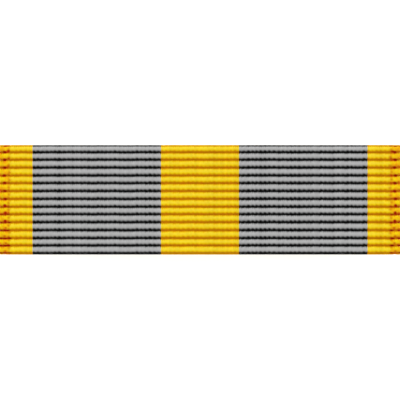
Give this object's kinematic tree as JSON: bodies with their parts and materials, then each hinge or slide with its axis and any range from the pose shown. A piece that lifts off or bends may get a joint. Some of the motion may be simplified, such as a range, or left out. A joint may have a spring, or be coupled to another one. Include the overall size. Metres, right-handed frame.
{
  "type": "ribbon bar",
  "caption": "Flat rectangular ribbon bar: a ribbed cloth ribbon striped yellow and grey, wrapped round a brass channel, with pointed posts and clutches behind to pin it to a garment.",
  "frame": {"origin": "middle of the surface that the clutches' wings rest on, under the middle of the bar", "axes": "+X along the bar, +Y towards the long edge that is uppermost in wear, +Z out of the ribbon's front"},
  "size_m": [0.035, 0.0096, 0.0087],
  "materials": {
    "ribbon_cloth": "ribbed weave",
    "channel_brass": "rolled and bent",
    "bar_brass": "rolled, with soldered posts",
    "clutch_brass": "stamped and polished"
  },
  "bodies": {
    "root": {"ribbon": "ribbon_cloth", "carrier": "channel_brass", "mounting_bar": "bar_brass", "clutch_left": "clutch_brass", "clutch_right": "clutch_brass"}
  },
  "joints": []
}
